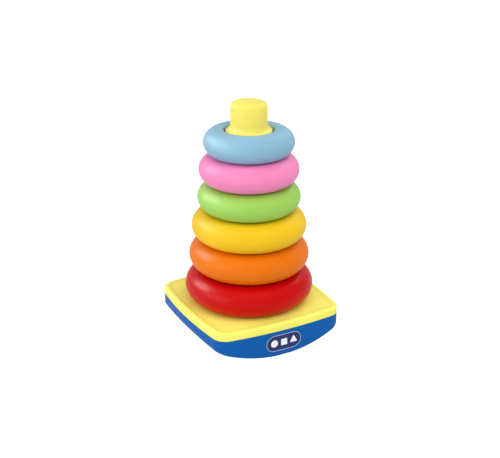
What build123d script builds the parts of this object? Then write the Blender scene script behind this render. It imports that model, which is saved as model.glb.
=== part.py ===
"""Stacking-ring tower on a rocking base.

Six plump rings drop over a stepped post. The post stands in a square base made of a curved rocker
shell and a tray-like top, held together by four screws from below. The rings are blow-moulded
hollow and are closed solids here: only their outer shape is modelled.
Frame: +Z up along the post, X is the rocking direction, the badge is on the -Y side, and the origin
is under the post at the lowest level of the rocker. All sizes are in millimetres.
"""

import math
import os

from build123d import *

os.makedirs("parts", exist_ok=True)

# ---------------------------------------------------------------- driving dimensions: base
base_half = 71.0  # from the post's axis to the middle of a side
side_bow = 5.0  # how far a side stands out between its corners
corner_radius = 14.0
rocker_radius = 155.0  # of the curved underside, about an axis along Y
rest_land = 18.0  # width of the flat strip that the toy stands still on
seam_z = 27.5  # where the rocker shell and the base top meet
floor_z = 34.6  # tray floor, on which the lowest ring lies
rim_z = 35.8
rim_width = 6.4
shell_wall = 2.2
plate_thickness = 2.4
underside_edge_radius = 4.0  # between the rocker's sides and its underside
cavity_edge_radius = 2.5
rim_edge_radius = 1.8
rim_inner_radius = 0.5
lip_depth = 3.0  # the base top's lip goes this far down inside the rocker shell
lip_wall = 1.6
fit_gap = 0.2  # clearance between parts that are put together by hand

# ---------------------------------------------------------------- driving dimensions: screws
screw_offset = 46.0  # of each screw from the post's axis, along X and along Y
seat_z = 14.0  # under the screws' heads
screw_length = 13.0
screw_radius = 1.5
screw_tip = 0.8
screw_hole_radius = 1.8
pilot_radius = 1.3
pilot_depth = 12.5
head_radius = 3.2
head_height = 2.2
head_edge_radius = 0.7
recess_width = 0.9
recess_length = 3.6
recess_depth = 1.2
well_radius = 3.8
rocker_boss_radius = 6.0
seat_thickness = 3.0
top_boss_radius = 3.8

# ---------------------------------------------------------------- driving dimensions: post
post_wall = 2.0
plate_hole_gap = 0.3
flange_radius = 40.0
flange_thickness = 2.4
key_width = 8.0
key_length = 1.8
collar_wall = 1.8
collar_height = 3.4
support_radius = 37.0
support_wall = 2.4
rib_wall = 1.8
rib_top_z = 23.0
top_rib_depth = 5.0
knob_radius = 17.6
knob_edge_radius = 3.5
post_top_z = 233.8
cove_radius = 7.0  # hollow curve that leads from one step of the post to the next
shoulder_edge_radius = 0.8
top_shoulder_z = 206.6  # edge of the shoulder under the knob
hidden_shoulder_drop = 5.0  # every other shoulder's edge lies this far below its ring's top

# ---------------------------------------------------------------- driving dimensions: rings
# name, height, outer radius, radius of the crest, radius of the hole, radius of the post inside
rings = [
    ("red_ring", 32.1, 63.2, 45.8, 34.6, 33.0),
    ("orange_ring", 31.1, 58.9, 42.0, 32.6, 31.0),
    ("yellow_ring", 29.0, 56.1, 40.8, 30.6, 29.0),
    ("green_ring", 27.6, 50.0, 34.5, 28.6, 27.0),
    ("pink_ring", 27.7, 48.3, 33.2, 26.6, 25.0),
    ("blue_ring", 25.7, 43.6, 29.9, 23.9, 22.2),
]
hole_edge_radius = 2.8

# ---------------------------------------------------------------- driving dimensions: badge
badge_length = 39.0
badge_height = 18.0
badge_z = 15.0  # height of the badge's middle
badge_thickness = 0.8
badge_recess = 0.2  # the badge's face lies this far inside the shell's face

# ---------------------------------------------------------------- heights that follow
plate_under_z = floor_z - plate_thickness
flange_under_z = plate_under_z - flange_thickness
joint_z = seat_z + seat_thickness  # where the bosses of the two base parts meet
lowest_post_radius = rings[0][5]
reach = 3 * base_half  # longer than anything that it has to cut


def bowed_square(inset=0.0):
    """The base's outline, a round-cornered square with bowed sides, moved in by inset."""
    corner = base_half - side_bow
    bow_radius = (corner**2 + side_bow**2) / (2 * side_bow)
    with BuildSketch() as outline:
        Rectangle(reach, reach)
        for centre in PolarLocations(bow_radius - base_half, 4):
            with Locations(centre):
                Circle(bow_radius - inset, mode=Mode.INTERSECT)
        fillet(outline.vertices(), radius=corner_radius - inset)
    return outline.sketch


def rocker_block(inset, top_z, edge_radius):
    """The rocker's outer shape up to top_z, moved in by inset on its sides and its underside."""
    sink = rocker_radius - math.sqrt(rocker_radius**2 - (rest_land / 2) ** 2)
    with BuildPart() as block:
        with BuildSketch(Plane.XY):
            add(bowed_square(inset))
        extrude(amount=top_z)
        with BuildSketch(Plane.XZ):
            with Locations((0, rocker_radius - sink)):
                Circle(rocker_radius - inset)
            with Locations((0, (inset + top_z) / 2)):
                Rectangle(reach, top_z - inset, mode=Mode.INTERSECT)
        extrude(amount=base_half, both=True, mode=Mode.INTERSECT)
        underside = block.faces().sort_by(Axis.Z)[:3]
        fillet(underside.edges().filter_by(Axis.Y, reverse=True), radius=edge_radius)
    return block.part


def band(inset_outer, inset_inner, low_z, high_z):
    """A wall that follows the base's outline between two insets."""
    with BuildPart() as wall:
        with BuildSketch(Plane.XY.offset(low_z)):
            add(bowed_square(inset_outer))
            add(bowed_square(inset_inner), mode=Mode.SUBTRACT)
        extrude(amount=high_z - low_z)
    return wall.part


def badge_prism():
    """The badge's pill outline, extruded through the front wall of the rocker."""
    with BuildPart() as prism:
        with BuildSketch(Plane.XZ.offset(base_half - side_bow)):
            with Locations((0, badge_z)):
                SlotOverall(badge_length, badge_height)
        extrude(amount=2 * side_bow)
    return prism.part


def finish(piece, name):
    """Labels a piece and writes its file."""
    piece.part.label = name
    export_step(piece.part, f"parts/{name}.step")


# ---------------------------------------------------------------- rocker shell
rocker_outside = rocker_block(0.0, seam_z, underside_edge_radius)
rocker_cavity = rocker_block(shell_wall, seam_z, cavity_edge_radius)
badge_pocket_depth = badge_recess + badge_thickness

with BuildPart() as rocker_inside:
    # support tube under the post's flange
    with BuildSketch(Plane.XY):
        Circle(support_radius)
        Circle(support_radius - support_wall, mode=Mode.SUBTRACT)
    extrude(amount=flange_under_z)
    # ribs from the tube to the walls
    with BuildSketch(Plane.XY):
        Rectangle(2 * base_half - shell_wall, rib_wall)
        Rectangle(rib_wall, 2 * base_half - shell_wall)
        Circle(support_radius - support_wall / 2, mode=Mode.SUBTRACT)
    extrude(amount=rib_top_z)
    # screw bosses
    with BuildSketch(Plane.XY):
        with GridLocations(2 * screw_offset, 2 * screw_offset, 2, 2):
            Circle(rocker_boss_radius)
    extrude(amount=joint_z)
    add(rocker_block(0.0, flange_under_z, underside_edge_radius), mode=Mode.INTERSECT)

with BuildPart() as rocker_shell:
    add(rocker_outside)
    add(rocker_cavity, mode=Mode.SUBTRACT)
    add(rocker_inside.part)
    # screw wells from below, and the screws' clearance holes
    with BuildSketch(Plane.XY):
        with GridLocations(2 * screw_offset, 2 * screw_offset, 2, 2):
            Circle(well_radius)
    extrude(amount=seat_z, mode=Mode.SUBTRACT)
    with BuildSketch(Plane.XY):
        with GridLocations(2 * screw_offset, 2 * screw_offset, 2, 2):
            Circle(screw_hole_radius)
    extrude(amount=joint_z, mode=Mode.SUBTRACT)
    # pocket for the badge
    pocket = badge_prism() & band(-side_bow, badge_pocket_depth, 0, seam_z)
    add(pocket, mode=Mode.SUBTRACT)
finish(rocker_shell, "rocker_shell")

# ---------------------------------------------------------------- badge
with BuildPart() as badge:
    add(badge_prism())
    add(band(badge_recess, badge_pocket_depth, 0, seam_z), mode=Mode.INTERSECT)
finish(badge, "badge")

# ---------------------------------------------------------------- base top
lip_outer = shell_wall + fit_gap
lip_inner = lip_outer + lip_wall
collar_inner = flange_radius + fit_gap

with BuildPart() as base_top:
    with BuildSketch(Plane.XY.offset(seam_z)):
        add(bowed_square())
    extrude(amount=rim_z - seam_z)
    fillet(base_top.faces().sort_by(Axis.Z)[-1].edges(), radius=rim_edge_radius)
    # tray floor inside the rim
    with BuildSketch(Plane.XY.offset(floor_z)):
        add(bowed_square(rim_width))
    extrude(amount=rim_z - floor_z, mode=Mode.SUBTRACT)
    floor = base_top.faces().filter_by_position(Axis.Z, floor_z - fit_gap, floor_z + fit_gap)
    fillet(floor.edges(), radius=rim_inner_radius)
    rim_top = base_top.faces().sort_by(Axis.Z)[-1]
    fillet(rim_top.inner_wires()[0].edges(), radius=rim_inner_radius)
    # hollow underneath, and the lip that reaches down into the rocker shell
    with BuildSketch(Plane.XY.offset(seam_z)):
        add(bowed_square(lip_inner))
    extrude(amount=plate_under_z - seam_z, mode=Mode.SUBTRACT)
    add(band(lip_outer, lip_inner, seam_z - lip_depth, seam_z))
    # collar that centres the post's flange, with notches for its two keys
    with BuildSketch(Plane.XY.offset(plate_under_z)):
        Circle(collar_inner + collar_wall)
        Circle(collar_inner, mode=Mode.SUBTRACT)
        Rectangle(reach, key_width + 2 * fit_gap, mode=Mode.SUBTRACT)
    extrude(amount=-collar_height)
    # screw bosses, with ribs to the collar
    with BuildSketch(Plane.XY.offset(plate_under_z)):
        for angle in (45, -45):
            Rectangle(2 * math.sqrt(2) * screw_offset, rib_wall, rotation=angle)
        Circle(collar_inner + collar_wall / 2, mode=Mode.SUBTRACT)
    extrude(amount=-top_rib_depth)
    with BuildSketch(Plane.XY.offset(joint_z)):
        with GridLocations(2 * screw_offset, 2 * screw_offset, 2, 2):
            Circle(top_boss_radius)
    extrude(amount=plate_under_z - joint_z)
    with BuildSketch(Plane.XY.offset(joint_z)):
        with GridLocations(2 * screw_offset, 2 * screw_offset, 2, 2):
            Circle(pilot_radius)
    extrude(amount=pilot_depth, mode=Mode.SUBTRACT)
    # hole for the post
    with BuildSketch(Plane.XY.offset(plate_under_z)):
        Circle(lowest_post_radius + plate_hole_gap)
    extrude(amount=plate_thickness, mode=Mode.SUBTRACT)
finish(base_top, "base_top")

# ---------------------------------------------------------------- base screws
with BuildPart() as screw:
    with BuildSketch(Plane.XY.offset(seat_z)):
        Circle(head_radius)
    extrude(amount=-head_height)
    fillet(screw.edges().sort_by(Axis.Z)[0], radius=head_edge_radius)
    with BuildSketch(Plane.XY.offset(seat_z - head_height)):
        Rectangle(recess_length, recess_width)
        Rectangle(recess_width, recess_length)
    extrude(amount=recess_depth, mode=Mode.SUBTRACT)
    with BuildSketch(Plane.XY.offset(seat_z)):
        Circle(screw_radius)
    extrude(amount=screw_length)
    chamfer(screw.edges().sort_by(Axis.Z)[-1], length=screw_tip)

with BuildPart() as base_screws:
    with GridLocations(2 * screw_offset, 2 * screw_offset, 2, 2):
        add(screw.part)
finish(base_screws, "base_screws")


# ---------------------------------------------------------------- post
def cove(wide, narrow, edge_z):
    """Start, middle and end of the hollow curve that leads up and in to a narrower step."""
    turn = math.acos(1 - (wide - narrow) / cove_radius)
    end_z = edge_z + cove_radius * math.sin(turn)
    middle = (
        narrow + cove_radius * (1 - math.cos(turn / 2)),
        end_z - cove_radius * math.sin(turn / 2),
    )
    return (wide, edge_z), middle, (narrow, end_z)


post_radii = [ring[5] for ring in rings] + [knob_radius]
ring_tops = []
ring_top = floor_z
for ring in rings:
    ring_top += ring[1]
    ring_tops.append(ring_top)
shoulder_edges = [top - hidden_shoulder_drop for top in ring_tops[:-1]] + [top_shoulder_z]
step_tops = shoulder_edges + [post_top_z]

with BuildPart() as post:
    with BuildSketch(Plane.XZ):
        with BuildLine():
            # outside, from the flange up: straight steps joined by coves
            Polyline(
                (lowest_post_radius - post_wall, flange_under_z),
                (flange_radius, flange_under_z),
                (flange_radius, plate_under_z),
                (lowest_post_radius, plate_under_z),
                (lowest_post_radius, shoulder_edges[0]),
            )
            inside = [(lowest_post_radius - post_wall, flange_under_z)]
            for step, edge_z in enumerate(shoulder_edges):
                start, middle, end = cove(post_radii[step], post_radii[step + 1], edge_z)
                ThreePointArc(start, middle, end)
                Line(end, (end[0], step_tops[step + 1]))
                inside.append((start[0] - post_wall, start[1] - post_wall / 2))
                inside.append((end[0] - post_wall, end[1] - post_wall / 2))
            Line((knob_radius, post_top_z), (0, post_top_z))
            inside.append((knob_radius - post_wall, post_top_z - post_wall))
            inside.append((0, post_top_z - post_wall))
            Polyline(*inside)
            Line((0, post_top_z - post_wall), (0, post_top_z))
        make_face()
    revolve(axis=Axis.Z)
    knob_edge = post.edges().filter_by(GeomType.CIRCLE).filter_by_position(
        Axis.Z, post_top_z, post_top_z
    )
    fillet(knob_edge, radius=knob_edge_radius)
    for wide, edge_z in zip(post_radii, shoulder_edges):
        level = post.edges().filter_by(GeomType.CIRCLE).filter_by_position(Axis.Z, edge_z, edge_z)
        fillet(level.sort_by(lambda edge: edge.radius)[-1], radius=shoulder_edge_radius)
    # keys on the flange
    with BuildSketch(Plane.XY.offset(flange_under_z)):
        Rectangle(2 * (flange_radius + key_length), key_width)
        Circle(flange_radius - key_length, mode=Mode.SUBTRACT)
    extrude(amount=flange_thickness)
finish(post, "post")


# ---------------------------------------------------------------- rings
def ring_section(height, outer, crest, hole):
    """Right half of a ring's section: a half-ellipse, flat lands, and a hole with rounded edges."""
    edge = hole_edge_radius
    with BuildSketch() as section:
        with BuildLine():
            EllipticalCenterArc((crest, height / 2), outer - crest, height / 2, -90, arc_size=180)
            Line((crest, height), (hole + edge, height))
            RadiusArc((hole + edge, height), (hole, height - edge), -edge)
            Line((hole, height - edge), (hole, edge))
            RadiusArc((hole, edge), (hole + edge, 0), -edge)
            Line((hole + edge, 0), (crest, 0))
        make_face()
    return section.sketch


ring_floor = floor_z
for name, height, outer, crest, hole, _ in rings:
    with BuildPart() as ring:
        with BuildSketch(Plane.XZ):
            with Locations((0, ring_floor)):
                add(ring_section(height, outer, crest, hole))
        revolve(axis=Axis.Z)
    finish(ring, name)
    ring_floor += height
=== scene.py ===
"""Looks of the stacking-ring tower: six blow-moulded rings on a post over a rocking base.

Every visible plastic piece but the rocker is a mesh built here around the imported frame. Sizes are in
millimetres and are turned into metres when a mesh is made. Profiles are lists of (radius or inset,
height). The rocker shell and the screws are the CAD nodes with materials of their own.
"""

import math

import bmesh
import bpy
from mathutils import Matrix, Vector, noise


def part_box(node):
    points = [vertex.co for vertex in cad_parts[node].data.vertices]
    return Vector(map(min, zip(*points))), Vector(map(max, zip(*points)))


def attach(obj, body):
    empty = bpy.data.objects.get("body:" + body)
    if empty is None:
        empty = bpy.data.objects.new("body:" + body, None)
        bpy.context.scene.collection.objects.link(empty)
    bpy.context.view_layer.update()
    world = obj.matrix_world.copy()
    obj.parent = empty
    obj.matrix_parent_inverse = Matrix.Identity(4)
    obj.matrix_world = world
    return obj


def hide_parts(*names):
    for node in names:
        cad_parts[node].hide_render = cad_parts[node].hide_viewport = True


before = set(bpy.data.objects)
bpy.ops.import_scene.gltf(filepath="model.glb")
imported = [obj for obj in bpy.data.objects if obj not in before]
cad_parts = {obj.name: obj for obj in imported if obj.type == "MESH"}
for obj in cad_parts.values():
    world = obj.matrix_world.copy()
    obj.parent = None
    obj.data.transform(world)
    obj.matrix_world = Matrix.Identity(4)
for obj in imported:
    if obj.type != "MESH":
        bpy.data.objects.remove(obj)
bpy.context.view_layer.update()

MM = 0.001

# ---------------------------------------------------------------- sizes of the base, in millimetres
BASE_HALF = 71.0  # from the post's axis to the middle of a side
SIDE_BOW = 5.0
CORNER_RADIUS = 14.0
SEAM_Z = 27.5  # where the rocker shell and the base top meet
FLOOR_Z = 34.6
RIM_Z = 35.4
PLATE_UNDER_Z = 32.2
RIM_FOOT = 7.2  # inset of the rim's inner foot
LIP_OUTER = 2.4
LIP_INNER = 4.0
LIP_Z = 24.5
POST_HOLE = 33.3


def node_box(node):
    """Lowest and highest corner of a CAD node, in millimetres."""
    low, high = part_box(node)
    return low / MM, high / MM


# ---------------------------------------------------------------- mesh helpers
WOBBLE_LENGTH = 17.0  # from one swell of a moulded wall to the next
SAME_POINT = 1e-4  # points of a profile nearer than this are one
SAME_VERTEX = 1e-7  # the same for a mesh, in metres


def make_piece(name, points, faces, body, nodes=()):
    """A smooth mesh piece from points in millimetres, riding on a body, standing for CAD nodes."""
    mesh = bpy.data.meshes.new(name)
    mesh.from_pydata([(x * MM, y * MM, z * MM) for x, y, z in points], [], faces)
    work = bmesh.new()
    work.from_mesh(mesh)
    bmesh.ops.remove_doubles(work, verts=work.verts, dist=SAME_VERTEX)
    bmesh.ops.dissolve_degenerate(work, edges=work.edges, dist=SAME_VERTEX)
    bmesh.ops.recalc_face_normals(work, faces=work.faces)
    work.to_mesh(mesh)
    work.free()
    for polygon in mesh.polygons:
        polygon.use_smooth = True
    piece = bpy.data.objects.new(name, mesh)
    bpy.context.scene.collection.objects.link(piece)
    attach(piece, body)
    if nodes:
        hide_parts(*nodes)
    return piece


def grid_faces(rows, columns, close_rows):
    """Quads of closed rows of points stored row by row, the last row joined to the first if asked."""
    faces = []
    for row in range(rows if close_rows else rows - 1):
        above = (row + 1) % rows
        for column in range(columns):
            beside = (column + 1) % columns
            faces.append(
                (
                    row * columns + column,
                    row * columns + beside,
                    above * columns + beside,
                    above * columns + column,
                )
            )
    return faces


def arc(centre, radii, start, end, steps):
    """Points of an elliptical arc, by angle in degrees, both ends included."""
    points = []
    for step in range(steps + 1):
        angle = math.radians(start + (end - start) * step / steps)
        points.append(
            (centre[0] + radii[0] * math.cos(angle), centre[1] + radii[1] * math.sin(angle))
        )
    return points


def line(start, end, steps):
    """Points along a line, both ends included."""
    return [
        (
            start[0] + (end[0] - start[0]) * step / steps,
            start[1] + (end[1] - start[1]) * step / steps,
        )
        for step in range(steps + 1)
    ]


def joined(*runs):
    """Runs of points put end to end, without the doubled points where they meet."""
    points = []
    for run in runs:
        for point in run:
            if not points or math.dist(points[-1], point) > SAME_POINT:
                points.append(point)
    if math.dist(points[0], points[-1]) < SAME_POINT:
        points.pop()
    return points


def lathe(name, profile, segments, body, nodes=(), wobble=0.0):
    """A mesh turned about the post's axis from a closed (radius, height) profile.

    The wobble, in millimetres, is a slight moulded unevenness.
    """
    points = []
    for segment in range(segments):
        angle = 2 * math.pi * segment / segments
        for radius, z in profile:
            place = Vector((radius * math.cos(angle), radius * math.sin(angle), z))
            swell = wobble * noise.noise(place / WOBBLE_LENGTH)
            turned = radius + swell
            points.append((turned * math.cos(angle), turned * math.sin(angle), z))
    faces = grid_faces(segments, len(profile), True)
    return make_piece(name, points, faces, body, nodes)


def piece_from_rows(name, rows, body, nodes=(), close_rows=False):
    """A piece skinned over rows of points, each row a closed loop."""
    points = [point for row in rows for point in row]
    faces = grid_faces(len(rows), len(rows[0]), close_rows)
    return make_piece(name, points, faces, body, nodes)


# ---------------------------------------------------------------- materials
# sizes of the noise patterns, in features per metre
DRIFT_SCALE = 28.0  # of the pigment's colour
WORN_SCALE = 45.0  # of the areas that are scuffed
PATCH_SCALE = 160.0  # of the satin patches
SKIN_SCALE = 520.0  # of a moulding's soft skin
GRAIN_SCALE = 5200.0  # of the mould's fine grain
STREAK_SCALE = (60.0, 2600.0, 2600.0)  # of the hairline scuffs, along and across them
STREAK_TURN = (0.5, 0.3, 0.8)  # the scuffs' direction, in radians
MOTTLE_SCALE = 900.0  # of the screws' plating
PLATING_GRAIN_SCALE = 7000.0
PLATING_RELIEF = 0.000008  # metres
DARK_ZINC = (0.42, 0.42, 0.43, 1.0)
LIGHT_ZINC = (0.68, 0.68, 0.66, 1.0)

DARK_PIGMENT = 0.95  # the pigment's drift, as shares of the colour
LIGHT_PIGMENT = 1.03
SCUFF_PALENESS = 0.6  # how much paler a scuff is, against how much rougher it is
SCUFF_COLOR = (0.9, 0.9, 0.9, 1.0)
PLASTIC_IOR = 1.49
RUB_STRENGTH = 12.0  # of the rubbed band, against that of the scuffs elsewhere
MIX_COLOR_A = 6  # sockets of a Mix node that mixes colours
MIX_COLOR_B = 7
MIX_COLOR_RESULT = 2


def add_node(material, kind, **values):
    """A shader node with the values of its sockets set by name."""
    node = material.node_tree.nodes.new(kind)
    for name, value in values.items():
        node.inputs[name.replace("_", " ")].default_value = value
    return node


def join(material, source, output, target, socket):
    """A link from one node's output to another's input."""
    material.node_tree.links.new(source.outputs[output], target.inputs[socket])


def noise_node(material, place, scale, detail, stretch=None):
    """A noise texture in object space, drawn out along some axes where stretch is given."""
    texture = add_node(material, "ShaderNodeTexNoise", Scale=scale, Detail=detail)
    if stretch:
        mapping = add_node(material, "ShaderNodeMapping", Scale=stretch, Rotation=STREAK_TURN)
        join(material, place, "Object", mapping, "Vector")
        join(material, mapping, "Vector", texture, "Vector")
    else:
        join(material, place, "Object", texture, "Vector")
    return texture


def remap(material, source, output, start, end, low, high):
    """A value taken from one range to another."""
    node = add_node(material, "ShaderNodeMapRange", From_Min=start, From_Max=end, To_Min=low, To_Max=high)
    join(material, source, output, node, "Value")
    return node


def new_material(name, **values):
    """A material and its Principled shader, with the shader's uniform values set on its sockets."""
    material = bpy.data.materials.new(name)
    material.use_nodes = True
    shader = material.node_tree.nodes["Principled BSDF"]
    for socket, value in values.items():
        shader.inputs[socket.replace("_", " ")].default_value = value
    return material, shader


def rubbed(material, place, streaks, scuff, top):
    """The scuffs with a rubbed band added that fades out upwards, at the height top in metres."""
    split = add_node(material, "ShaderNodeSeparateXYZ")
    join(material, place, "Object", split, "Vector")
    band = remap(material, split, "Z", 0.0, top, RUB_STRENGTH, 0.0)
    dense = remap(material, streaks, "Fac", 0.45, 0.6, 0.0, 1.0)
    rub = add_node(material, "ShaderNodeMath")
    rub.operation = "MULTIPLY"
    join(material, band, "Result", rub, 0)
    join(material, dense, "Result", rub, 1)
    both = add_node(material, "ShaderNodeMath")
    both.operation = "MAXIMUM"
    join(material, scuff, "Value", both, 0)
    join(material, rub, "Value", both, 1)
    return both


def plastic(
    name,
    color,
    roughness,
    sheen=0.26,
    subsurface=0.25,
    depth=0.003,
    peel=0.000014,
    grain=0.000003,
    scuffs=0.015,
    coat=0.0,
    rub_top=None,
):
    """Moulded plastic: colour drift, satin patches, hairline scuffs, a soft skin and a fine grain.

    The sheen is the strength of its reflections. The depth of subsurface light, the heights of the
    skin (peel) and of the grain, and rub_top are in metres. Below the height rub_top the scuffs get
    denser and stronger.
    """
    material, shader = new_material(
        name,
        IOR=PLASTIC_IOR,
        Specular_IOR_Level=sheen,
        Subsurface_Weight=subsurface,
        Subsurface_Radius=[0.3 + 0.7 * c for c in color],  # light of its own colour goes deepest
        Subsurface_Scale=depth,
        Coat_Weight=coat,
        Coat_Roughness=0.2,
    )
    place = add_node(material, "ShaderNodeTexCoord")

    # colour: slow drift of the pigment, paler along the scuffs
    drift = noise_node(material, place, DRIFT_SCALE, 3.0)
    tint = add_node(material, "ShaderNodeValToRGB")
    tint.color_ramp.elements[0].position = 0.3
    tint.color_ramp.elements[0].color = [c * DARK_PIGMENT for c in color] + [1.0]
    tint.color_ramp.elements[1].position = 0.7
    tint.color_ramp.elements[1].color = [min(c * LIGHT_PIGMENT, 1.0) for c in color] + [1.0]
    join(material, drift, "Fac", tint, "Fac")

    streaks = noise_node(material, place, 1.0, 4.0, STREAK_SCALE)
    worn = noise_node(material, place, WORN_SCALE, 2.0)
    streak = remap(material, streaks, "Fac", 0.60, 0.70, 0.0, 1.0)
    where = remap(material, worn, "Fac", 0.48, 0.66, 0.0, 1.0)
    scuff = add_node(material, "ShaderNodeMath")
    scuff.operation = "MULTIPLY"
    join(material, streak, "Result", scuff, 0)
    join(material, where, "Result", scuff, 1)
    if rub_top:
        scuff = rubbed(material, place, streaks, scuff, rub_top)
    pale = add_node(material, "ShaderNodeMix")
    pale.data_type = "RGBA"
    pale_amount = remap(material, scuff, "Value", 0.0, 1.0, 0.0, scuffs * SCUFF_PALENESS)
    join(material, pale_amount, "Result", pale, "Factor")
    material.node_tree.links.new(tint.outputs["Color"], pale.inputs[MIX_COLOR_A])
    pale.inputs[MIX_COLOR_B].default_value = SCUFF_COLOR
    material.node_tree.links.new(pale.outputs[MIX_COLOR_RESULT], shader.inputs["Base Color"])

    # gloss: satin patches, rougher along the scuffs
    patches = noise_node(material, place, PATCH_SCALE, 4.0)
    satin = remap(material, patches, "Fac", 0.3, 0.7, roughness - 0.04, roughness + 0.05)
    dull = remap(material, scuff, "Value", 0.0, 1.0, 0.0, scuffs)
    gloss = add_node(material, "ShaderNodeMath")
    gloss.operation = "ADD"
    join(material, satin, "Result", gloss, 0)
    join(material, dull, "Result", gloss, 1)
    join(material, gloss, "Value", shader, "Roughness")

    # relief: the soft skin of a moulding over the fine grain of its mould
    skin = noise_node(material, place, SKIN_SCALE, 2.0)
    skin_bump = add_node(material, "ShaderNodeBump", Strength=1.0, Distance=peel)
    join(material, skin, "Fac", skin_bump, "Height")
    fine = noise_node(material, place, GRAIN_SCALE, 1.0)
    fine_bump = add_node(material, "ShaderNodeBump", Strength=1.0, Distance=grain)
    join(material, fine, "Fac", fine_bump, "Height")
    join(material, skin_bump, "Normal", fine_bump, "Normal")
    join(material, fine_bump, "Normal", shader, "Normal")
    return material


# ---------------------------------------------------------------- rings
RING_SEGMENTS = 160
HOLE_EDGE = 2.8  # rounding of a hole's edges
SEAM_HALF = 0.45  # half the width of the parting line's bead
SEAM_RISE = 0.07  # how far the bead stands out
RING_WOBBLE = 0.12
# body and node, material slot, crest radius, hole radius, linear colour, roughness, sheen
RINGS = [
    ("red_ring", "red_plastic", 45.8, 34.6, (0.535, 0.001, 0.002), 0.3, 0.15),
    ("orange_ring", "orange_plastic", 42.0, 32.6, (0.755, 0.168, 0.0016), 0.36, 0.16),
    ("yellow_ring", "amber_plastic", 40.8, 30.6, (0.812, 0.512, 0.0108), 0.42, 0.18),
    ("green_ring", "green_plastic", 34.5, 28.6, (0.31, 0.58, 0.086), 0.48, 0.5),
    ("pink_ring", "pink_plastic", 33.2, 26.6, (0.835, 0.237, 0.47), 0.44, 0.2),
    ("blue_ring", "light_blue_plastic", 29.9, 23.9, (0.21, 0.42, 0.568), 0.58, 0.9),
]


def ring_profile(low, high, outer, crest, hole):
    """A ring's section: a half-ellipse with the mould's parting line, flat lands, a hole wall."""
    middle = (low + high) / 2
    reach = (outer - crest, (high - low) / 2)
    seam_angle = math.degrees(SEAM_HALF / reach[1])
    return joined(
        arc((crest, middle), reach, -90, -seam_angle, 26),
        [(outer + SEAM_RISE * 0.8, middle - SEAM_HALF * 0.45)],
        [(outer + SEAM_RISE, middle)],
        [(outer + SEAM_RISE * 0.8, middle + SEAM_HALF * 0.45)],
        arc((crest, middle), reach, seam_angle, 90, 26),
        line((crest, high), (hole + HOLE_EDGE, high), 2),
        arc((hole + HOLE_EDGE, high - HOLE_EDGE), (HOLE_EDGE, HOLE_EDGE), 90, 180, 8),
        line((hole, high - HOLE_EDGE), (hole, middle + SEAM_HALF), 3),
        [(hole - SEAM_RISE, middle)],
        line((hole, middle - SEAM_HALF), (hole, low + HOLE_EDGE), 3),
        arc((hole + HOLE_EDGE, low + HOLE_EDGE), (HOLE_EDGE, HOLE_EDGE), 180, 270, 8),
        line((hole + HOLE_EDGE, low), (crest, low), 2),
    )


def make_ring(node, slot, crest, hole, color, roughness, sheen):
    """One blow-moulded ring."""
    low, high = node_box(node)
    profile = ring_profile(low.z, high.z, high.x, crest, hole)
    ring = lathe(node + "_body", profile, RING_SEGMENTS, node, [node], wobble=RING_WOBBLE)
    ring.data.materials.append(plastic(slot, color, roughness, sheen))


for ring_values in RINGS:
    make_ring(*ring_values)

# ---------------------------------------------------------------- post
POST_SEGMENTS = 128
COVE_RADIUS = 7.0
POST_WALL = 2.0
SHOULDER_RADIUS = 0.8
KNOB_EDGE = 4.8  # rounding of the knob's edge
KNOB_CROWN = 0.3  # how far the knob's end falls away from its middle to its edge
FLANGE_RADIUS = 40.0
FLANGE_Z = 29.8
HIDDEN_DROP = 5.0  # a shoulder's edge lies this far below its ring's top
TOP_SHOULDER_Z = 206.6
POST_RADII = [33.0, 31.0, 29.0, 27.0, 25.0, 22.2, 17.6]
# The post and the base top are one pale yellow plastic. The base top's yellow is painted lighter and
# greener than the post's, to offset the shade under the rings and the red ring's reddish bounce on it.
YELLOW = (0.88, 0.733, 0.13)
PLATE_YELLOW_PAINTED_LIGHTER = (0.9, 0.866, 0.15)


def cove_end(wide, narrow, edge_z):
    """The turn of a cove, in radians, and the height where it has come in to the next step."""
    turn = math.acos(1 - (wide - narrow) / COVE_RADIUS)
    return turn, edge_z + COVE_RADIUS * math.sin(turn)


def shoulder(wide, narrow, edge_z):
    """A rounded shoulder edge and the hollow curve that leads up and in to the next step."""
    turn, end_z = cove_end(wide, narrow, edge_z)
    centre = (narrow + COVE_RADIUS, end_z)
    first = 180 + math.degrees(turn)
    skipped = math.degrees(SHOULDER_RADIUS / COVE_RADIUS)
    cove = arc(centre, (COVE_RADIUS, COVE_RADIUS), first - skipped, 180, 12)
    edge_centre = (wide - SHOULDER_RADIUS, edge_z - SHOULDER_RADIUS)
    edge = arc(edge_centre, (SHOULDER_RADIUS, SHOULDER_RADIUS), 0, 60, 5)
    return edge + cove


def post_profile(top_z):
    """Outside of the post from its flange to its end, then back down its inside."""
    edges = [node_box(values[0])[1].z - HIDDEN_DROP for values in RINGS[:-1]] + [TOP_SHOULDER_Z]
    outside = [(FLANGE_RADIUS, FLANGE_Z), (FLANGE_RADIUS, PLATE_UNDER_Z), (POST_RADII[0], PLATE_UNDER_Z)]
    for wide, narrow, edge_z in zip(POST_RADII, POST_RADII[1:], edges):
        outside += shoulder(wide, narrow, edge_z)
    knob = POST_RADII[-1]
    crown_z = top_z - KNOB_CROWN
    outside += arc((knob - KNOB_EDGE, crown_z - KNOB_EDGE), (KNOB_EDGE, KNOB_EDGE), 0, 84, 8)
    flat = knob - KNOB_EDGE
    outside += [(flat * (1 - step / 5), top_z - KNOB_CROWN * (1 - step / 5) ** 2) for step in range(1, 5)]
    outside.append((0.0, top_z))
    inside = [(POST_RADII[0] - POST_WALL, FLANGE_Z)]
    for wide, narrow, edge_z in zip(POST_RADII, POST_RADII[1:], edges):
        inside.append((wide - POST_WALL, edge_z - POST_WALL / 2))
        inside.append((narrow - POST_WALL, cove_end(wide, narrow, edge_z)[1] - POST_WALL / 2))
    inside += [(knob - POST_WALL, top_z - POST_WALL), (0.0, top_z - POST_WALL)]
    return outside + inside[::-1]


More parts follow.
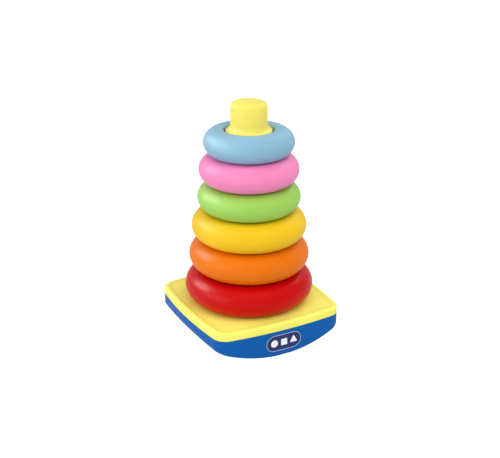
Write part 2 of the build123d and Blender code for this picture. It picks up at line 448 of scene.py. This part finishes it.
post_line = post_profile(node_box("post")[1].z)
post_body = lathe("post_body", post_line, POST_SEGMENTS, "base", ["post"])
yellow = plastic("pale_yellow_plastic", YELLOW, 0.44, subsurface=0.4, depth=0.005)
post_body.data.materials.append(yellow)

# ---------------------------------------------------------------- base top
RIM_EDGE = 2.2  # height of the rim's outer rounding
RIM_TURN = 3.3  # width of the rim's outer rounding
RIM_CREST = 3.9  # inset of the rim's highest line
FLOOR_STEPS = 8  # rows from the post's hole to the rim
SLOPE_STEPS = 8  # rows up the rim's inner slope
SEAM_EDGE = 0.35  # rounding of the base top's lower edge, where it meets the rocker shell


def side_bow_radius():
    """The radius of the arc that a side bows out on."""
    corner = BASE_HALF - SIDE_BOW
    return (corner**2 + SIDE_BOW**2) / (2 * SIDE_BOW)


def base_outline(inset, arc_steps=10, side_steps=28):
    """The base's outline moved in by inset: four corner arcs between four bowed sides."""
    bow = side_bow_radius()
    shift = bow - BASE_HALF  # from the post's axis to a side's centre of curvature
    reach = bow - CORNER_RADIUS
    centre = (math.sqrt(2 * reach**2 - shift**2) - shift) / 2
    half_angle = math.degrees(math.atan2(centre, centre + shift))
    side = arc((-shift, 0), (bow - inset, bow - inset), -half_angle, half_angle, side_steps)
    turn = CORNER_RADIUS - inset
    turned = arc((centre, centre), (turn, turn), half_angle, 90 - half_angle, arc_steps)
    quarter = side[:-1] + turned[:-1]
    points = []
    for _ in range(4):
        points += quarter
        quarter = [(-y, x) for x, y in quarter]
    return points


def hole_outline(radius, like):
    """A circle about the post's axis with one point in the direction of each point of an outline."""
    return [(radius * x / math.hypot(x, y), radius * y / math.hypot(x, y)) for x, y in like]


def blended(first, second, share):
    """Points part of the way from one outline to another."""
    return [
        (a[0] + (b[0] - a[0]) * share, a[1] + (b[1] - a[1]) * share) for a, b in zip(first, second)
    ]


def base_top_rows():
    """Rows of points from the post's hole over the tray and the rim, down the side and back inside."""
    foot = base_outline(RIM_FOOT)
    hole = hole_outline(POST_HOLE, foot)
    shares = [step / FLOOR_STEPS for step in range(FLOOR_STEPS + 1)]
    rows = [[(x, y, FLOOR_Z) for x, y in blended(hole, foot, share)] for share in shares]
    run = RIM_FOOT - RIM_CREST  # of the rim's inner slope, a soft S from the floor to the crest
    for step in range(1, SLOPE_STEPS + 1):
        share = step / SLOPE_STEPS
        z = FLOOR_Z + (RIM_Z - FLOOR_Z) * (3 * share**2 - 2 * share**3)
        rows.append([(x, y, z) for x, y in base_outline(RIM_FOOT - run * share)])
    wall = []  # (inset, height) of each row from the rim's crest down the side and back inside
    for step in range(10):
        turn = math.radians(10 * step)
        wall.append((RIM_TURN * (1 - math.sin(turn)), RIM_Z - RIM_EDGE * (1 - math.cos(turn))))
    wall += [(0.0, RIM_Z - RIM_EDGE - 2.0), (0.0, SEAM_Z + SEAM_EDGE + 1.0)]
    for step in range(5):
        turn = math.radians(22.5 * step)
        height = SEAM_Z + SEAM_EDGE - SEAM_EDGE * math.sin(turn)
        wall.append((SEAM_EDGE - SEAM_EDGE * math.cos(turn), height))
    wall += [(LIP_OUTER, SEAM_Z), (LIP_OUTER, LIP_Z), (LIP_INNER, LIP_Z), (LIP_INNER, PLATE_UNDER_Z)]
    rows += [[(x, y, z) for x, y in base_outline(inset)] for inset, z in wall]
    rows.append([(x, y, PLATE_UNDER_Z) for x, y in hole])
    return rows


base_rows = base_top_rows()
base_plate = piece_from_rows(
    "base_plate", base_rows, "base", ["base_top"], close_rows=True
)
# the base top's yellow is painted lighter than the post's, to offset the shade under the rings
base_plate.data.materials.append(plastic("pale_yellow_top", PLATE_YELLOW_PAINTED_LIGHTER, 0.44, subsurface=0.0))

# ---------------------------------------------------------------- badge
BADGE_SHELL = 0.8  # thickness of the badge's body
BADGE_EDGE = 0.25  # rounding of its front edge
PRINT_RISE = 0.06  # how far the print stands out from the badge's face
PRINT_SKIN = 0.000005  # height of a print's or glossy face's soft skin, in metres
BORDER_OUTER = 0.55  # inset of the printed border's outer edge from the badge's edge
BORDER_INNER = 1.25
MARK_SPACING = 10.4
CIRCLE_RADIUS = 3.7
SQUARE_REACH = 4.7  # from the mark's middle to its corners
TRIANGLE_REACH = 4.9
MARK_ROUNDING = 0.6
NAVY = (0.008, 0.016, 0.13)
PRINT_WHITE = (0.86, 0.88, 0.92)
PRINT_BLUE = (0.30, 0.50, 0.86)


def front_y(x, inset):
    """The Y of the base's front face at x, moved in by inset."""
    bow = side_bow_radius()
    return -(math.sqrt((bow - inset) ** 2 - x**2) - (bow - BASE_HALF))


def pill_outline(half_length, half_height, shrink=0.0, end_steps=18, side_steps=14):
    """A pill of (x, z) points about its middle: two half-circles joined by straight sides."""
    radius = half_height - shrink
    middle = half_length - half_height
    right = arc((middle, 0), (radius, radius), -90, 90, end_steps)
    left = arc((-middle, 0), (radius, radius), 90, 270, end_steps)
    top = line((middle, radius), (-middle, radius), side_steps)[1:-1]
    bottom = line((-middle, -radius), (middle, -radius), side_steps)[1:-1]
    return right + top + left + bottom


def on_front(outline, inset, x_shift=0.0):
    """Points of (x, z) laid on the base's front face at an inset, about the badge's middle."""
    return [(x + x_shift, front_y(x + x_shift, inset), badge_middle_z + z) for x, z in outline]


badge_low, badge_high = node_box("badge")
badge_middle_z = (badge_low.z + badge_high.z) / 2
badge_half_length = (badge_high.x - badge_low.x) / 2
badge_half_height = (badge_high.z - badge_low.z) / 2
badge_face = -front_y(0, 0) + badge_low.y  # inset of the badge's face from the base's face


def badge_rows():
    """Rows of the badge's body from the back's middle line over the edge to the face's middle line."""
    rows = [on_front(pill_outline(badge_half_length, badge_half_height), badge_face + BADGE_SHELL)]
    for angle in (0, 30, 60, 90):
        turn = math.radians(angle)
        shrink = BADGE_EDGE * (1 - math.cos(turn))
        outline = pill_outline(badge_half_length, badge_half_height, shrink)
        rows.append(on_front(outline, badge_face + BADGE_EDGE * (1 - math.sin(turn))))
    for share in (0.3, 0.6, 0.85, 1.0):
        shrink = BADGE_EDGE + (badge_half_height - BADGE_EDGE) * share
        rows.append(on_front(pill_outline(badge_half_length, badge_half_height, shrink), badge_face))
    back_middle = pill_outline(badge_half_length, badge_half_height, badge_half_height)
    return [on_front(back_middle, badge_face + BADGE_SHELL)] + rows


def print_mark(name, outline, x_shift, material):
    """A flat printed mark on the badge, a thin closed plate that follows the face."""
    rows = [
        on_front([(0.0, 0.0)] * len(outline), badge_face, x_shift),
        on_front(outline, badge_face, x_shift),
        on_front(outline, badge_face - PRINT_RISE, x_shift),
        on_front([(0.0, 0.0)] * len(outline), badge_face - PRINT_RISE, x_shift),
    ]
    mark = piece_from_rows(name, rows, "base")
    for polygon in mark.data.polygons:
        polygon.use_smooth = False
    mark.data.materials.append(material)


def rounded_polygon(corners, radius, turn, sides, steps=5):
    """A regular polygon of (x, z) points with rounded corners, by the distance of its corners."""
    points = []
    pull = radius / math.cos(math.pi / sides)  # from a corner to the centre of its rounding
    for side in range(sides):
        angle = turn + 360 * side / sides
        reach = corners - pull
        centre = (reach * math.cos(math.radians(angle)), reach * math.sin(math.radians(angle)))
        points += arc(centre, (radius, radius), angle - 180 / sides, angle + 180 / sides, steps)
    return points


badge_body = piece_from_rows("badge_body", badge_rows(), "base", ["badge"])
badge_navy = plastic("badge_navy", NAVY, 0.28, subsurface=0.0, peel=PRINT_SKIN, coat=0.3)
badge_body.data.materials.append(badge_navy)
print_white = plastic("print_white", PRINT_WHITE, 0.35, subsurface=0.0, peel=PRINT_SKIN)
print_blue = plastic("print_blue", PRINT_BLUE, 0.35, subsurface=0.0, peel=PRINT_SKIN)

border_rows = [
    on_front(pill_outline(badge_half_length, badge_half_height, shrink), inset)
    for shrink, inset in (
        (BORDER_OUTER, badge_face),
        (BORDER_OUTER, badge_face - PRINT_RISE),
        (BORDER_INNER, badge_face - PRINT_RISE),
        (BORDER_INNER, badge_face),
    )
]
badge_border = piece_from_rows("badge_border", border_rows, "base", close_rows=True)
for border_polygon in badge_border.data.polygons:
    border_polygon.use_smooth = False
badge_border.data.materials.append(print_blue)
circle = arc((0, 0), (CIRCLE_RADIUS, CIRCLE_RADIUS), 0, 352.5, 47)
square = rounded_polygon(SQUARE_REACH, MARK_ROUNDING, 45, 4)
triangle = rounded_polygon(TRIANGLE_REACH, MARK_ROUNDING, 90, 3)
print_mark("mark_circle", circle, -MARK_SPACING, print_white)
print_mark("mark_square", square, 0.0, print_white)
print_mark("mark_triangle", triangle, MARK_SPACING, print_white)


# ---------------------------------------------------------------- CAD nodes that stay
def set_material(node, material):
    """One material for a CAD node's whole mesh."""
    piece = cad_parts[node]
    for slot in piece.material_slots:
        slot.material = material


BLUE = (0.0006, 0.106, 0.4)
RUB_TOP_Z = 2.4  # the rocker's underside is rubbed dull below this height
rocker_blue = plastic("blue_plastic", BLUE, 0.36, sheen=0.12, subsurface=0.05, rub_top=RUB_TOP_Z * MM)


def screw_steel():
    """Zinc-plated steel: a mottled bright coat with a fine grain."""
    material, shader = new_material("screw_steel", Metallic=1.0, IOR=2.5)
    place = add_node(material, "ShaderNodeTexCoord")
    mottle = noise_node(material, place, MOTTLE_SCALE, 4.0)
    tint = add_node(material, "ShaderNodeValToRGB")
    tint.color_ramp.elements[0].position = 0.35
    tint.color_ramp.elements[0].color = DARK_ZINC
    tint.color_ramp.elements[1].position = 0.65
    tint.color_ramp.elements[1].color = LIGHT_ZINC
    join(material, mottle, "Fac", tint, "Fac")
    join(material, tint, "Color", shader, "Base Color")
    gloss = remap(material, mottle, "Fac", 0.3, 0.7, 0.26, 0.42)
    join(material, gloss, "Result", shader, "Roughness")
    fine = noise_node(material, place, PLATING_GRAIN_SCALE, 1.0)
    bump = add_node(material, "ShaderNodeBump", Strength=1.0, Distance=PLATING_RELIEF)
    join(material, fine, "Fac", bump, "Height")
    join(material, bump, "Normal", shader, "Normal")
    return material


set_material("rocker_shell", rocker_blue)
set_material("base_screws", screw_steel())

# ---------------------------------------------------------------- stage, lights and camera
FLOOR_HALF = 20.0  # metres
FLOOR_GAP = 0.0002  # keeps the floor clear of the flat strip that stands on it
FLOOR_GREY = 0.5  # what the floor gives back to the toy, though it looks white itself
FLOOR_GLOW = 0.22  # how much of its own light reaches the toy
SKY_STRENGTH = 0.52
TOY_MIDDLE = 0.1  # height that the lights are turned to, in metres
CAMERA_LENS = 70.6
CAMERA_SENSOR = 36.0
CAMERA_SHIFT = 0.002
CAMERA_PLACE = (-0.4209, -0.7843, 0.4624)
CAMERA_TARGET = (0, 0, 0.1056)


def make_floor():
    """A plain white floor, as on a light table: it stays white under the toy and lights it softly."""
    half = FLOOR_HALF
    mesh = bpy.data.meshes.new("floor")
    low = -FLOOR_GAP
    corners = [(-half, -half, low), (half, -half, low), (half, half, low), (-half, half, low)]
    mesh.from_pydata(corners, [], [(0, 1, 2, 3)])
    floor = bpy.data.objects.new("floor", mesh)
    bpy.context.scene.collection.objects.link(floor)
    material, shader = new_material(
        "floor_white",
        Base_Color=(FLOOR_GREY, FLOOR_GREY, FLOOR_GREY, 1.0),
        Roughness=0.9,
        Specular_IOR_Level=0.0,
        Emission_Color=(1.0, 1.0, 1.0, 1.0),
    )
    path = add_node(material, "ShaderNodeLightPath")
    glow = remap(material, path, "Is Camera Ray", 0.0, 1.0, FLOOR_GLOW, 1.0)
    join(material, glow, "Result", shader, "Emission Strength")
    mesh.materials.append(material)


def area_light(name, azimuth, elevation, distance, size, power, fills=True, shines=True):
    """A square soft light turned to the toy's middle, in metres, watts and degrees from +X.

    A light that doesn't shine fills in the shade without a highlight of its own. A light that doesn't
    fill gives only its highlight.
    """
    data = bpy.data.lights.new(name, "AREA")
    data.shape = "SQUARE"
    data.size = size
    data.energy = power
    light = bpy.data.objects.new(name, data)
    bpy.context.scene.collection.objects.link(light)
    turn, rise = math.radians(azimuth), math.radians(elevation)
    flat = math.cos(rise)
    away = Vector((flat * math.cos(turn), flat * math.sin(turn), math.sin(rise)))
    light.location = Vector((0, 0, TOY_MIDDLE)) + away * distance
    light.rotation_mode = "QUATERNION"
    light.rotation_quaternion = (-away).to_track_quat("-Z", "Y")
    light.visible_diffuse = fills
    light.visible_glossy = shines


make_floor()
area_light("left_wide", 180, 5, 1.5, 1.6, 16.0)
area_light("left_near", 130, 26, 1.4, 0.8, 3.0)
area_light("left_shine", 136, 30, 1.4, 0.7, 15.0, fills=False)
area_light("front_right", -66, 45, 1.7, 1.2, 9.8, shines=False)
area_light("front_low", -118, 20, 1.8, 1.8, 3.0, shines=False)
area_light("front_high", -118, 62, 1.6, 1.2, 7.5, shines=False)
area_light("right_behind", 22, 42, 1.4, 0.5, 3.0)

world = bpy.data.worlds.new("studio")
world.use_nodes = True
world.node_tree.nodes["Background"].inputs["Color"].default_value = (1.0, 1.0, 1.0, 1.0)
world.node_tree.nodes["Background"].inputs["Strength"].default_value = SKY_STRENGTH
bpy.context.scene.world = world
bpy.context.scene.view_settings.view_transform = "Standard"

camera_data = bpy.data.cameras.new("camera")
camera_data.lens = CAMERA_LENS
camera_data.sensor_width = CAMERA_SENSOR
camera_data.shift_x = CAMERA_SHIFT
camera = bpy.data.objects.new("camera", camera_data)
bpy.context.scene.collection.objects.link(camera)
camera.location = CAMERA_PLACE
camera.rotation_mode = "QUATERNION"
camera.rotation_quaternion = (Vector(CAMERA_TARGET) - camera.location).to_track_quat("-Z", "Y")
bpy.context.scene.camera = camera
